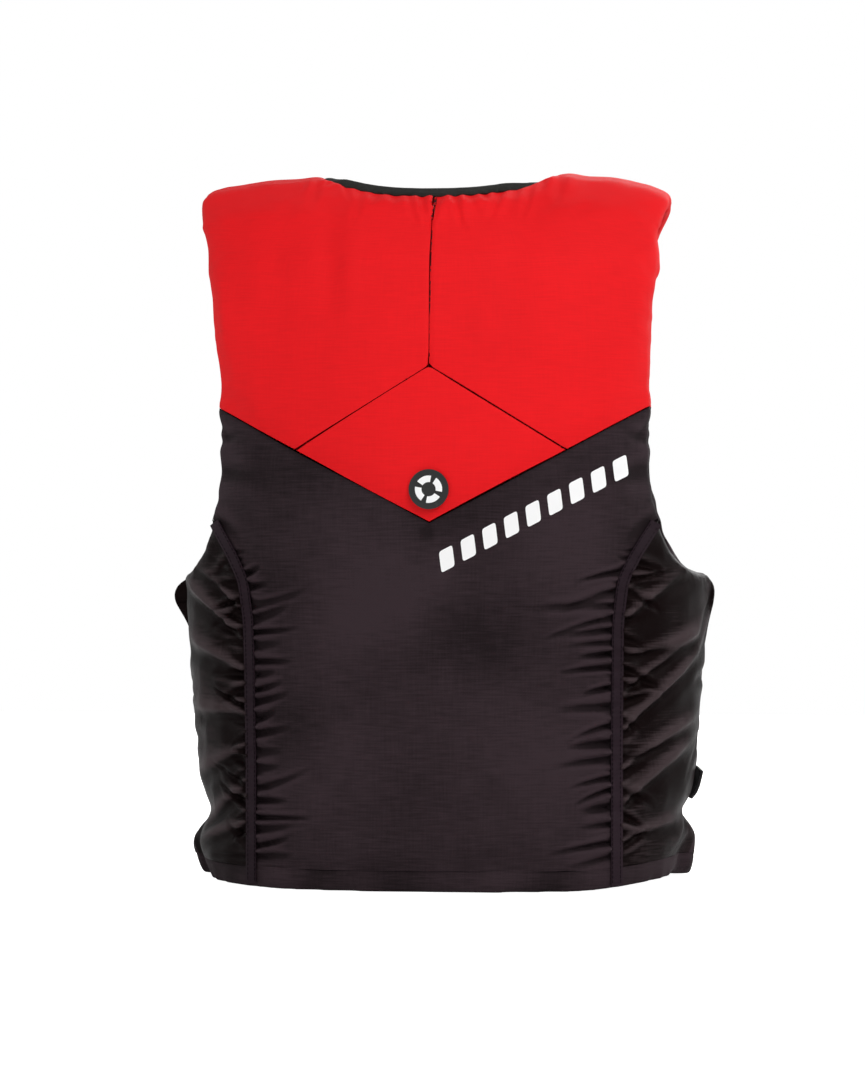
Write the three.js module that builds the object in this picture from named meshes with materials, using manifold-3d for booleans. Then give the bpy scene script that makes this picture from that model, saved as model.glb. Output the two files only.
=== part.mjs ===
// A zip-front buoyancy vest, standing on its hem, in millimetres.
// +X is the wearer's right, +Y is out of the chest and +Z is up.
import * as THREE from "three";
import { mergeVertices } from "three/addons/utils/BufferGeometryUtils.js";
import Module from "manifold-3d";

const wasm = await Module();
wasm.setup();

// Body shape. Heights on the upper body are measured down from the shoulders.
const height = 560; // hem to the top of the shoulders
const halfWidth = 212; // centre to the outer face under the arms
const backDepth = 134; // side seams to the outer face over the shoulder blades
const frontDepth = 132; // side seams to the outer face of the chest
const squareness = 2.6; // exponent of the plan section, where 2 is an ellipse
const rollHeight = 140; // the panels start to roll over this far below the shoulders
const rollSquareness = 2.3; // exponent of that roll
const shoulderPeak = halfWidth - 92; // centre to the highest point of each shoulder
const shoulderReach = halfWidth - 28; // centre to the outer end of each shoulder seam
const shoulderDrop = 18; // fall from the peak to that end

// Openings
const armholeDepth = 320; // shoulder top to the bottom of the armhole
const armholeReach = halfWidth - 42; // centre to the innermost point of the armhole
const neckReach = 90; // centre to where the neckline crosses the shoulder
const backNeckDrop = 22; // shoulder top to the back neckline at the centre
const frontNeckDrop = 135; // shoulder top to the front neckline at the centre
const zipValley = 12; // centre to the front edge of each front panel

// Layers
const foamThickness = 22; // skin, foam and lining together
const shoulderThickness = 12; // the same over the shoulder seam
const skinThickness = 1.6;
const bindingWidth = 6; // dark binding round the neck
const gussetThickness = 1.5; // cloth strip that closes the foam's edge in the armhole
const hemHeight = 16;

// Back panel seams
const chevronTipDrop = 278; // shoulder top to the tip of the coloured yoke
const chevronEndDrop = 191; // shoulder top to the yoke's edge at chevronEndReach
const chevronEndReach = halfWidth - 47; // centre to where the yoke's edge meets the armhole
const kiteTopDrop = 159; // shoulder top to the top of the kite panel
const kiteHalfWidth = 104;
const princessReach = halfWidth - 71; // centre to the long side-back seams
const tapeWidth = 8;
const tapeThickness = 0.9;

// Badge and print on the back
const badgeRadius = 15;
const badgeThickness = 2;
const badgeDrop = 253;
const printLength = 165;
const printHeight = 15;
const printBelowYoke = 35; // height from the print's centre up to the yoke's edge
const printReach = 79; // centre to the print's centre
const printThickness = 0.3;

// Zip
const zipRecess = 9; // outer face of the chest to the middle of the chain
const chainWidth = 1.8;
const chainThickness = 2;
const chainSpread = 1; // centre to each chain
const zipTapeThickness = 0.8;
const zipTopMargin = 8; // front neckline to the top of the zip
const zipBottomMargin = 2; // hem band to the bottom of the zip
const stopLength = 3;
const zipBoxLength = 8;
const zipPinLength = 20;
const sliderLength = 12;
const sliderHalfWidth = 4.6;
const sliderPlate = 1.6;
const pullLength = 27;
const pullHalfWidth = 3.6;
const pullThickness = 1.3;

// Waist belt and its side-release buckle
const beltHeight = 78; // hem to the middle of the belt
const beltWidth = 25;
const beltThickness = 1.6;
const buckleThickness = 11;
const buckleWall = 2;
const buckleRim = 4.5; // how far the buckle stands past each edge of the belt
const ladderHalfLength = 12; // half the male part's webbing frame
const maleBaseLength = 11.4;
const femaleLength = 38;
const socketDepth = 26;
const glideReach = 112; // centre to each belt slider
const tailLength = 60;
const keeperWidth = 8;

const gap = 0.3; // clearance between neighbouring pieces
const far = 300; // past every face
const rollStart = height - rollHeight;
const armholeBottom = height - armholeDepth;
const zipTop = height - frontNeckDrop - zipTopMargin;
const zipBottom = hemHeight + zipBottomMargin;
const beltLift = gap + beltThickness + gap; // chest to the back of the buckle
const frontReach = frontDepth + gap / 2 + beltLift + buckleThickness;
const backReach = backDepth + gap * 1.5 + badgeThickness;
const originShift = (frontReach - backReach) / 2; // side seams to the middle of the depth

const red = cloth(0xe0242a);
const black = cloth(0x2c262a);
const satin = cloth(0x211a1c);
const charcoal = cloth(0x2d2e2b);
const foamGrey = new THREE.MeshStandardMaterial({ color: 0x9aa0a4, roughness: 0.95 });
const rubber = new THREE.MeshStandardMaterial({ color: 0x1b1b1c, roughness: 0.55 });
const printWhite = new THREE.MeshStandardMaterial({ color: 0xf2f2f2, roughness: 0.5 });
const plastic = new THREE.MeshStandardMaterial({ color: 0x151516, roughness: 0.4 });
const metal = new THREE.MeshStandardMaterial({ color: 0x6f7072, roughness: 0.35, metalness: 0.9 });

function cloth(color) {
  return new THREE.MeshStandardMaterial({ color, roughness: 0.8, metalness: 0 });
}

const vest = new THREE.Group();
const seams = new THREE.Group(); // its origin is on the side seams' plane
seams.position.y = -originShift;
vest.add(seams);

function add(name, material, solid, parent = seams) {
  const mesh = new THREE.Mesh(solid.isBufferGeometry ? solid : geometryOf(solid), material);
  mesh.name = name;
  parent.add(mesh);
  return mesh;
}

function solidOf(geometry) {
  const bare = geometry.clone();
  bare.deleteAttribute("normal");
  bare.deleteAttribute("uv");
  const merged = mergeVertices(bare, 1e-4);
  return new wasm.Manifold(
    new wasm.Mesh({
      numProp: 3,
      vertProperties: merged.attributes.position.array,
      triVerts: new Uint32Array(merged.index.array),
    }),
  );
}

function geometryOf(solid) {
  const mesh = solid.getMesh();
  const geometry = new THREE.BufferGeometry();
  geometry.setAttribute("position", new THREE.BufferAttribute(mesh.vertProperties, 3));
  geometry.setIndex(new THREE.BufferAttribute(mesh.triVerts, 1));
  geometry.computeVertexNormals();
  return geometry;
}

// The value at a height of a list of [height, value], eased between its entries.
function eased(list, at) {
  const next = list.findIndex(([z]) => z > at);
  if (next === 0) return list[0][1];
  if (next < 0) return list[list.length - 1][1];
  const [low, lowValue] = list[next - 1];
  const [high, highValue] = list[next];
  return lowValue + (highValue - lowValue) * THREE.MathUtils.smoothstep(at, low, high);
}

// How much narrower than halfWidth each half is, by height.
const backTaper = [
  [0, 26],
  [60, 21],
  [armholeBottom - 70, 9],
  [armholeBottom, 3],
  [armholeBottom + 60, 0],
];
const frontTaper = [
  [0, 13],
  [18, 12],
  [50, 22],
  [90, 16],
  [armholeBottom - 70, 10],
  [armholeBottom - 8, -2],
  [armholeBottom + 60, 0],
];
// How much shallower than backDepth the back is, by height.
const backHollow = [
  [0, 6],
  [armholeBottom - 130, 10],
  [armholeBottom + 60, 0],
  [rollStart, 2],
];

// Rows of the body's grid: heights up to the roll, then degrees round it.
function bodyRows(heights) {
  const upright = heights.filter((z) => z < rollStart - 20).map((z) => ({ z, roll: 0 }));
  const rolled = [0, 24, 46, 68, 90].map((roll) => ({ z: rollStart, roll }));
  return [...upright, ...rolled];
}
const rowsOf = {
  back: bodyRows([...backTaper.map(([z]) => z), armholeBottom + 120]),
  front: bodyRows([...frontTaper.map(([z]) => z), armholeBottom + 120]),
};
const columns = 18;

// A point of the back's or the front's shape, some way inside its outer face.
function bodyPoint(side, row, turn, inset) {
  const taper = side === "back" ? backTaper : frontTaper;
  const depth = side === "back" ? backDepth - eased(backHollow, row.z) : frontDepth;
  const sine = Math.sin(turn);
  const x = (halfWidth - eased(taper, row.z) - inset) * sine;
  const section = Math.max(0, 1 - Math.abs(sine) ** squareness) ** (1 / squareness);
  const roll = THREE.MathUtils.degToRad(row.roll);
  const forward = Math.max(0, Math.cos(roll)) ** (2 / rollSquareness);
  const upward = Math.sin(roll) ** (2 / rollSquareness);
  const pastPeak = Math.max(0, Math.abs(x) - shoulderPeak) / (shoulderReach - shoulderPeak);
  const ridge = height - shoulderDrop * pastPeak ** 2 - inset;
  const y = gap / 2 + (depth - inset) * section * (row.roll < 90 ? forward : 0);
  return [x, side === "back" ? -y : y, row.z + (ridge - rollStart) * upward];
}

function thicknessAt(row) {
  return foamThickness + (shoulderThickness - foamThickness) * Math.sin((row.roll * Math.PI) / 180);
}

// A closed shell of the back or the front between two insets, each a function of the row.
function layer(side, outerInset, innerInset) {
  const rows = rowsOf[side];
  const positions = [];
  for (const inset of [outerInset, innerInset]) {
    for (const row of rows) {
      for (let i = 0; i <= columns; i++) {
        const turn = Math.PI * (i / columns - 0.5);
        positions.push(...bodyPoint(side, row, turn, inset(row)));
      }
    }
  }
  const across = columns + 1;
  const inner = across * rows.length;
  const triangles = [];
  const quad = (a, b, c, d) => triangles.push([a, b, c], [a, c, d]);
  for (let j = 0; j < rows.length - 1; j++) {
    for (let i = 0; i < columns; i++) {
      const a = j * across + i;
      quad(a, a + 1, a + 1 + across, a + across);
      quad(inner + a, inner + a + across, inner + a + 1 + across, inner + a + 1);
    }
    const left = j * across;
    const right = left + columns;
    quad(left, left + across, inner + left + across, inner + left);
    quad(right + across, right, inner + right, inner + right + across);
  }
  const top = (rows.length - 1) * across;
  for (let i = 0; i < columns; i++) {
    quad(i, inner + i, inner + i + 1, i + 1);
    quad(top + i, top + i + 1, inner + top + i + 1, inner + top + i);
  }
  const order = side === "back" ? [0, 1, 2] : [0, 2, 1];
  const geometry = new THREE.BufferGeometry();
  geometry.setAttribute("position", new THREE.Float32BufferAttribute(positions, 3));
  geometry.setIndex(triangles.flatMap((t) => order.map((k) => t[k])));
  return solidOf(geometry);
}

// An outline of [x, z] points as a bar from one y to another.
function slab(outline, yLow, yHigh) {
  const shape = new THREE.Shape(outline.map(([x, z]) => new THREE.Vector2(x, z)));
  const geometry = new THREE.ExtrudeGeometry(shape, { depth: yHigh - yLow, bevelEnabled: false });
  geometry.rotateX(Math.PI / 2);
  geometry.translate(0, yHigh, 0);
  return solidOf(geometry);
}

function through(outline) {
  return slab(outline, -far, far);
}

function block(low, high) {
  const size = high.map((value, k) => value - low[k]);
  const geometry = new THREE.BoxGeometry(...size);
  geometry.translate(...low.map((value, k) => value + size[k] / 2));
  return solidOf(geometry);
}

function rectangle(xLow, xHigh, zLow, zHigh) {
  return [
    [xLow, zLow],
    [xHigh, zLow],
    [xHigh, zHigh],
    [xLow, zHigh],
  ];
}

function flipped(outline) {
  return outline.map(([x, z]) => [-x, z]).reverse();
}

// A line moved to its left as it is walked, which is inwards on the lines below.
function movedIn(line, distance) {
  return line.map(([x, z], i) => {
    const [x0, z0] = line[Math.max(0, i - 1)];
    const [x1, z1] = line[Math.min(line.length - 1, i + 1)];
    const length = Math.hypot(x1 - x0, z1 - z0);
    return [x - (distance * (z1 - z0)) / length, z + (distance * (x1 - x0)) / length];
  });
}

function smoothLine(points, steps) {
  const curve = new THREE.SplineCurve(points.map(([x, z]) => new THREE.Vector2(x, z)));
  return curve.getPoints(steps).map((p) => [p.x, p.y]);
}

// The right armhole's edge, from under the arm up past the shoulder.
const armholeLine = smoothLine(
  [
    [halfWidth + 20, armholeBottom - 2],
    [armholeReach + 30, armholeBottom + 3],
    [armholeReach + 15, armholeBottom + 19],
    [armholeReach + 3, armholeBottom + 55],
    [armholeReach, armholeBottom + 125],
    [armholeReach + 3, armholeBottom + 215],
    [shoulderReach, height - shoulderDrop],
    [shoulderReach + 5, height + 30],
  ],
  16,
);

// A neckline from right to left, past the shoulders at both ends.
function neckLine(drop, power) {
  const line = [[neckReach + 6, height + 20]];
  for (let i = 8; i >= -8; i--) {
    const share = Math.abs(i) / 8;
    line.push([(neckReach * i) / 8, height - drop * (1 - share ** power)]);
  }
  line.push([-neckReach - 6, height + 20]);
  return line;
}
const neckLines = { back: neckLine(backNeckDrop, 2.4), front: neckLine(frontNeckDrop, 2) };

const princessLine = smoothLine(
  [
    [princessReach, -10],
    [princessReach, armholeBottom - 130],
    [princessReach + 1, armholeBottom - 35],
    [princessReach + 5, armholeBottom - 2],
    [princessReach + 15, armholeBottom + 18],
    [princessReach + 30, armholeBottom + 42],
    [princessReach + 50, armholeBottom + 65],
  ],
  14,
);

// Everything inside the armholes and the neckline and above the hem band.
function panelOutline(side) {
  const arm = movedIn(armholeLine, gussetThickness + gap);
  const neck = movedIn(neckLines[side], bindingWidth + gap);
  const bottom = hemHeight + gap;
  return [[far, bottom], [far, arm[0][1]], ...arm, ...neck, ...flipped(arm), [-far, bottom]];
}

function chevronHeight(x) {
  const rise = (chevronTipDrop - chevronEndDrop) / chevronEndReach;
  return height - chevronTipDrop + rise * Math.abs(x);
}

const overYoke = height + far;
const kiteTop = height - kiteTopDrop;
const yokeRegion = [
  [gap / 2, overYoke],
  [gap / 2, kiteTop + gap / 2],
  [kiteHalfWidth, chevronHeight(kiteHalfWidth) + gap / 2],
  [far, chevronHeight(far) + gap / 2],
  [far, overYoke],
];
const kiteRegion = [
  [0, kiteTop - gap],
  [-kiteHalfWidth + 3 * gap, chevronHeight(kiteHalfWidth)],
  [0, chevronHeight(0) + gap],
  [kiteHalfWidth - 3 * gap, chevronHeight(kiteHalfWidth)],
];
const aboveChevron = [
  [far, overYoke],
  [-far, overYoke],
  [-far, chevronHeight(far) + gap / 2],
  [0, chevronHeight(0) + gap / 2],
  [far, chevronHeight(far) + gap / 2],
];
const belowChevron = [
  [-far, chevronHeight(far) - gap / 2],
  [-far, -far],
  [far, -far],
  [far, chevronHeight(far) - gap / 2],
  [0, chevronHeight(0) - gap / 2],
];
const princessInside = movedIn(princessLine, gap / 2);
const betweenPrincess = [...princessInside, [far, overYoke], [-far, overYoke], ...flipped(princessInside)];
const outsidePrincess = [...movedIn(princessLine, -gap / 2), [far, armholeBottom + 70], [far, -far]];
const zipSide = rectangle(zipValley, far, -far, overYoke);

const skinInset = [() => 0, () => skinThickness];
const foamInset = [() => skinThickness + gap, (row) => thicknessAt(row) - skinThickness - gap];
const liningInset = [(row) => thicknessAt(row) - skinThickness, thicknessAt];
const fullInset = [() => 0, thicknessAt];

function shells(side) {
  return {
    skin: layer(side, ...skinInset),
    foam: layer(side, ...foamInset),
    lining: layer(side, ...liningInset),
    full: layer(side, ...fullInset),
  };
}

function cut(solid, ...outlines) {
  return outlines.reduce((rest, outline) => rest.intersect(through(outline)), solid);
}

// Both sides of a piece, each cut by an outline that is given for the right.
function addPair(name, material, solid, outlines) {
  add(name + "_left", material, cut(solid, ...outlines.map(flipped)));
  add(name + "_right", material, cut(solid, ...outlines));
}

function bandAlong(line, width) {
  return [...line, ...movedIn(line, width).reverse()];
}

function makeBack() {
  const { skin, foam, lining, full } = shells("back");
  const outline = panelOutline("back");
  const panel = cut(skin, outline);
  addPair("back_yoke", red, panel, [yokeRegion]);
  add("back_kite_panel", red, cut(panel, kiteRegion));
  add("back_lower_panel", black, cut(panel, belowChevron, betweenPrincess));
  addPair("side_panel", satin, panel, [outsidePrincess]);
  const filling = cut(foam, outline);
  add("back_foam_upper", foamGrey, cut(filling, aboveChevron));
  add("back_foam_lower", foamGrey, cut(filling, belowChevron, betweenPrincess));
  addPair("side_foam", foamGrey, filling, [outsidePrincess]);
  add("back_lining", black, cut(lining, outline));
  add("back_hem_band", black, cut(full, rectangle(-far, far, -far, hemHeight)));
  add("neck_binding_back", charcoal, cut(full, bandAlong(neckLines.back, bindingWidth)));
  addPair("armhole_gusset_back", red, full, [bandAlong(armholeLine, gussetThickness)]);
}

function makeBackTrim() {
  const tape = layer("back", () => -gap - tapeThickness, () => -gap);
  const tapeBand = bandAlong(movedIn(princessLine, -tapeWidth / 2), tapeWidth);
  const inArmhole = [
    [far, gap],
    [far, armholeLine[0][1]],
    ...movedIn(armholeLine, gussetThickness + gap),
    [0, overYoke],
    [0, gap],
  ];
  addPair("princess_tape", black, tape, [tapeBand, inArmhole]);

  const badge = new THREE.CylinderGeometry(badgeRadius, badgeRadius, badgeThickness, 32);
  const badgeMesh = add("back_badge", rubber, badge);
  badgeMesh.position.set(0, -backDepth - gap * 1.5 - badgeThickness / 2, height - badgeDrop);

  const print = layer("back", () => -gap - printThickness, () => -gap);
  const slope = Math.atan2(chevronTipDrop - chevronEndDrop, chevronEndReach);
  const centre = [printReach, chevronHeight(printReach) - printBelowYoke];
  const half = [printLength / 2, printHeight / 2];
  const corners = rectangle(-half[0], half[0], -half[1], half[1]).map(([u, v]) => [
    centre[0] + u * Math.cos(slope) - v * Math.sin(slope),
    centre[1] + u * Math.sin(slope) + v * Math.cos(slope),
  ]);
  const insideSeam = [[0, -far], ...movedIn(princessLine, tapeWidth / 2 + gap), [0, overYoke]];
  add("back_print", printWhite, cut(print, corners, insideSeam));
}

function makeFronts() {
  const { skin, foam, lining, full } = shells("front");
  const outline = panelOutline("front");
  const panel = cut(skin, outline);
  addPair("front_yoke", red, panel, [zipSide, aboveChevron]);
  addPair("front_panel", black, panel, [zipSide, belowChevron]);
  addPair("front_foam", foamGrey, cut(foam, outline), [zipSide]);
  addPair("front_lining", black, cut(lining, outline), [zipSide]);
  addPair("front_hem_band", black, full, [rectangle(zipValley, far, -far, hemHeight)]);
  addPair("neck_binding_front", charcoal, full, [bandAlong(neckLines.front, bindingWidth), zipSide]);
  addPair("armhole_gusset_front", red, full, [bandAlong(armholeLine, gussetThickness)]);
}

// A box beside the zip's middle plane, on the right for 1 and on the left for -1.
function zipBlock(side, xLow, xHigh, halfDepth, zLow, zHigh) {
  const y = frontDepth - zipRecess;
  const x = side > 0 ? [xLow, xHigh] : [-xHigh, -xLow];
  return block([x[0], y - halfDepth, zLow], [x[1], y + halfDepth, zHigh]);
}

function makeZip() {
  const chainOut = chainSpread + chainWidth;
  const boxTop = zipBottom + zipBoxLength;
  const chainTop = zipTop - stopLength - gap;
  for (const side of [-1, 1]) {
    const suffix = side > 0 ? "_right" : "_left";
    const chainBottom = side > 0 ? boxTop + gap : boxTop + gap + zipPinLength + gap;
    const tape = zipBlock(side, chainOut + gap, zipValley - gap, zipTapeThickness / 2, zipBottom, zipTop);
    add("zip_tape" + suffix, black, tape);
    const chain = zipBlock(side, chainSpread, chainOut, chainThickness / 2, chainBottom, chainTop);
    add("zip_chain" + suffix, plastic, chain);
    const stop = zipBlock(side, chainSpread, chainOut, chainThickness / 2 + 0.5, zipTop - stopLength, zipTop);
    add("zip_top_stop" + suffix, plastic, stop);
  }
  const pin = zipBlock(-1, chainSpread, chainOut, chainThickness / 2, boxTop + gap, boxTop + gap + zipPinLength);
  add("zip_insertion_pin", plastic, pin);
  add("zip_box", plastic, zipBlock(1, -chainOut, chainOut, 2.2, zipBottom, boxTop));
}

// The slider holds the chains between two plates, joined by a neck that runs between them.
function makeSlider() {
  const y = frontDepth - zipRecess;
  const top = zipTop - stopLength - 2 * gap;
  const bottom = top - sliderLength;
  const plateBack = chainThickness / 2 + gap;
  const plateFront = plateBack + sliderPlate;
  const neckHalf = chainSpread - gap;
  const plate = [
    [-sliderHalfWidth, top],
    [-sliderHalfWidth * 0.7, bottom],
    [sliderHalfWidth * 0.7, bottom],
    [sliderHalfWidth, top],
  ];
  const bailHalf = 3.4;
  const eyeHalf = 2;
  const eyeDepth = 2.5;
  const bailTop = 3.7;
  const hingeZ = (top + bottom) / 2;
  const bail = block(
    [-0.9, y + plateFront - 0.2, hingeZ - bailHalf],
    [0.9, y + plateFront + bailTop, hingeZ + bailHalf],
  ).subtract(
    block([-2, y + plateFront, hingeZ - eyeHalf], [2, y + plateFront + eyeDepth, hingeZ + eyeHalf]),
  );
  const slider = slab(plate, y + plateBack, y + plateFront)
    .add(slab(plate, y - plateFront, y - plateBack))
    .add(block([-neckHalf, y - plateFront, top - 4], [neckHalf, y + plateFront, top]))
    .add(bail);
  add("zip_slider", metal, slider);

  const hingeY = y + plateFront + eyeDepth / 2;
  const bar = 0.8;
  const holeEnd = 4.8;
  const tab = slab(
    [
      [-pullHalfWidth, hingeZ + bar],
      [-pullHalfWidth, hingeZ - pullLength * 0.8],
      [-pullHalfWidth * 0.6, hingeZ - pullLength],
      [pullHalfWidth * 0.6, hingeZ - pullLength],
      [pullHalfWidth, hingeZ - pullLength * 0.8],
      [pullHalfWidth, hingeZ + bar],
    ],
    hingeY - pullThickness / 2,
    hingeY + pullThickness / 2,
  );
  const hole = slab(rectangle(-1.6, 1.6, hingeZ - holeEnd, hingeZ - bar), hingeY - 2, hingeY + 2);
  add("zip_pull", metal, tab.subtract(hole));
}

function beltBand(xLow, xHigh, halfHeight = beltWidth / 2) {
  return rectangle(xLow, xHigh, beltHeight - halfHeight, beltHeight + halfHeight);
}

function makeBelt() {
  const webbing = layer("front", () => -gap - beltThickness, () => -gap);
  const femaleEnd = ladderHalfLength + maleBaseLength + gap * 2 + femaleLength;
  add("belt_right", black, cut(webbing, beltBand(femaleEnd - 8, far)));
  add("belt_left", black, cut(webbing, beltBand(-far, ladderHalfLength - 4)));
  const tail = layer("front", () => -beltLift - beltThickness, () => -beltLift);
  const tailStart = -ladderHalfLength - 2;
  add("belt_tail", black, cut(tail, beltBand(tailStart - tailLength, tailStart)));

  const keeperStart = tailStart - tailLength + 10;
  const keeperInside = beltLift + beltThickness + gap;
  const around = layer("front", () => -keeperInside - 0.9, () => -gap);
  const room = layer("front", () => -keeperInside, () => gap);
  const keeper = cut(around, beltBand(keeperStart, keeperStart + keeperWidth, beltWidth / 2 + 1.5)).subtract(
    cut(room, beltBand(-far, 0, beltWidth / 2 + gap)),
  );
  add("belt_keeper", black, keeper);
}

function makeBuckle() {
  const y = frontDepth + gap / 2 + beltLift;
  const half = beltWidth / 2 + buckleRim;
  const z = beltHeight;
  const slotHalf = beltWidth / 2 + 0.7;
  const baseEnd = ladderHalfLength + maleBaseLength;
  const femaleStart = baseEnd + gap * 2;
  const femaleEnd = femaleStart + femaleLength;
  const cavityLow = y + buckleWall;
  const cavityHigh = y + buckleThickness - buckleWall;
  const cavityHalf = half - 3;
  const windowStart = femaleStart + 9;
  const windowEnd = femaleStart + 21;
  const corner = 3;
  const roundOutline = [
    [femaleStart, z - half],
    [femaleEnd - corner, z - half],
    [femaleEnd, z - half + corner],
    [femaleEnd, z + half - corner],
    [femaleEnd - corner, z + half],
    [femaleStart, z + half],
  ];
  let female = slab(roundOutline, y, y + buckleThickness).subtract(
    block([femaleStart - 1, cavityLow, z - cavityHalf], [femaleStart + socketDepth, cavityHigh, z + cavityHalf]),
  );
  for (const side of [-1, 1]) {
    const [low, high] = [cavityHalf - 3, half + 2].map((v) => z + side * v).sort((a, b) => a - b);
    female = female.subtract(
      block([windowStart, y - 1, low], [windowEnd, y + buckleThickness + 1, high]),
    );
  }
  const slot = block([femaleEnd - 9, y - 1, z - slotHalf], [femaleEnd - 4.5, y + 20, z + slotHalf]);
  add("buckle_female", plastic, female.subtract(slot));

  const frameThickness = 3;
  const tongueLength = 22;
  let male = slab(rectangle(-ladderHalfLength, ladderHalfLength + 1, z - half, z + half), y, y + frameThickness);
  for (const start of [-ladderHalfLength + 3.5, 2]) {
    male = male.subtract(block([start, y - 1, z - slotHalf], [start + 6.5, y + 9, z + slotHalf]));
  }
  male = male
    .add(slab(rectangle(ladderHalfLength, baseEnd, z - half + 1, z + half - 1), y, cavityHigh))
    .add(
      block([baseEnd - 1, cavityLow + 1, z - 3.2], [baseEnd + tongueLength, cavityHigh - 1, z + 3.2]),
    );
  add("buckle_male", plastic, male);

  const armStart = baseEnd + 2 * gap;
  const barb = half - 0.6;
  const arm = [
    [armStart, 6.5],
    [armStart + 20.3, 8],
    [armStart + 20.3, 10],
    [windowEnd - 0.6, barb - 2],
    [windowStart + 0.5, barb],
    [windowStart + 0.5, cavityHalf - 1],
    [armStart, 11.5],
  ];
  add("latch_arm_upper", plastic, slab(arm.map(([u, v]) => [u, z + v]), cavityLow + 0.5, cavityHigh - 0.5));
  const lower = arm.map(([u, v]) => [u, z - v]).reverse();
  add("latch_arm_lower", plastic, slab(lower, cavityLow + 0.5, cavityHigh - 0.5));
}

// A three-bar slider lies on the belt at each side.
function makeGlides() {
  const belowRoll = { z: beltHeight, roll: 0 };
  const width = halfWidth - eased(frontTaper, beltHeight);
  const turn = Math.asin(glideReach / width);
  const lift = -gap - beltThickness;
  const [x, y] = bodyPoint("front", belowRoll, turn, lift);
  const [nextX, nextY] = bodyPoint("front", belowRoll, turn + 0.01, lift);
  const slope = Math.atan2(nextY - y, nextX - x);
  const half = beltWidth / 2 + buckleRim;
  const thickness = 2.6;
  const slotHalf = beltWidth / 2 + 0.7;
  const frame = rectangle(-11, 11, -half, half);
  for (const side of [-1, 1]) {
    let glide = slab(frame, 0, thickness);
    for (const start of [-8, 2]) {
      glide = glide.subtract(block([start, -1, -slotHalf], [start + 6, thickness + 1, slotHalf]));
    }
    const mesh = add(side > 0 ? "belt_glide_right" : "belt_glide_left", plastic, glide);
    mesh.rotation.z = side * slope;
    const off = gap * 1.5;
    mesh.position.set(side * (x - Math.sin(slope) * off), y + Math.cos(slope) * off, beltHeight);
  }
}

makeBack();
makeBackTrim();
makeFronts();
makeZip();
makeSlider();
makeBelt();
makeBuckle();
makeGlides();

export default vest;
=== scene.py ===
import math
import random

import bpy
import numpy as np
from mathutils import Matrix, Vector
from mathutils.bvhtree import BVHTree


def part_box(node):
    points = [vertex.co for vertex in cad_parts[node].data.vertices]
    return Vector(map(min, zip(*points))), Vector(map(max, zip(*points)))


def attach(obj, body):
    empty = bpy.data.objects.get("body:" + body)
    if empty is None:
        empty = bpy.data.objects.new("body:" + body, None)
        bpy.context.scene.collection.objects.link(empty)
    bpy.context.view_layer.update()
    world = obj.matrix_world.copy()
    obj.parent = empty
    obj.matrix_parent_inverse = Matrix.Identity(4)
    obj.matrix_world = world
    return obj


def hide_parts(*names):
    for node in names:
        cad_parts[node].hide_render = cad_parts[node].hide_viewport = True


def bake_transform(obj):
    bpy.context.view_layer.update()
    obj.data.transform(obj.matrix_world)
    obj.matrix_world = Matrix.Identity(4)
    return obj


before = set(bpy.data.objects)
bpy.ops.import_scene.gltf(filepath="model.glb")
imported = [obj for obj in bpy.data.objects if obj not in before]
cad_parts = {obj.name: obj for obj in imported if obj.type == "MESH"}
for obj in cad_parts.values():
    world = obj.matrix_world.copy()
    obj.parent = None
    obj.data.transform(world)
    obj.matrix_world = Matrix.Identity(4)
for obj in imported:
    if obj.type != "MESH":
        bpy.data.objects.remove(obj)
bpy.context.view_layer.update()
scene = bpy.context.scene
scene.view_settings.view_transform = "Standard"

mm = 0.001
hands = (("Right", "right", 1), ("Left", "left", -1))  # name, node's ending, side of the centre
seamY = -0.00445  # the side and shoulder seams lie in this plane


# Camera, at the back of the vest
camera = {
    "azimuth": 5.0,  # degrees towards +X
    "distance": 2.7,
    "height": 0.2685,
    "asideLeft": 0.0095,  # how far the view is centred to the left of the vest
    "lens": 112.5,
}


def addCamera(values):
    turn = math.radians(values["azimuth"])
    toCamera = Vector((math.sin(turn), -math.cos(turn), 0))
    toRight = Vector((math.cos(turn), math.sin(turn), 0))
    aim = Vector((0, 0, values["height"])) - toRight * values["asideLeft"]
    lens = bpy.data.cameras.new("backView")
    lens.lens = values["lens"]
    lens.sensor_width = 36
    viewer = bpy.data.objects.new("backView", lens)
    scene.collection.objects.link(viewer)
    viewer.location = aim + toCamera * values["distance"]
    viewer.rotation_euler = (-toCamera).to_track_quat("-Z", "Y").to_euler()
    scene.camera = viewer


addCamera(camera)
print("camera placed")


# Small tools for meshes
def selectOnly(*objs):
    bpy.ops.object.select_all(action="DESELECT")
    for obj in objs:
        obj.select_set(True)
    bpy.context.view_layer.objects.active = objs[0]


def applyModifiers(obj):
    selectOnly(obj)
    for modifier in list(obj.modifiers):
        bpy.ops.object.modifier_apply(modifier=modifier.name)
    return obj


def editAll(obj, *steps):
    # Runs each step in edit mode with the whole mesh selected.
    selectOnly(obj)
    bpy.ops.object.mode_set(mode="EDIT")
    for step in steps:
        bpy.ops.mesh.select_all(action="SELECT")
        step()
    bpy.ops.object.mode_set(mode="OBJECT")
    return obj


def editFaces(obj, chosen, *steps):
    # Runs each step in edit mode, starting with the chosen faces selected.
    selectOnly(obj)
    bpy.ops.object.mode_set(mode="EDIT")
    bpy.ops.mesh.select_mode(type="FACE")
    bpy.ops.mesh.select_all(action="DESELECT")
    bpy.ops.object.mode_set(mode="OBJECT")
    obj.data.polygons.foreach_set("select", np.asarray(chosen, bool))
    bpy.ops.object.mode_set(mode="EDIT")
    for step in steps:
        step()
    bpy.ops.object.mode_set(mode="OBJECT")


def subdivide():
    bpy.ops.mesh.subdivide(number_cuts=1)


def turnNormals():
    bpy.ops.mesh.normals_make_consistent(inside=False)


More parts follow.
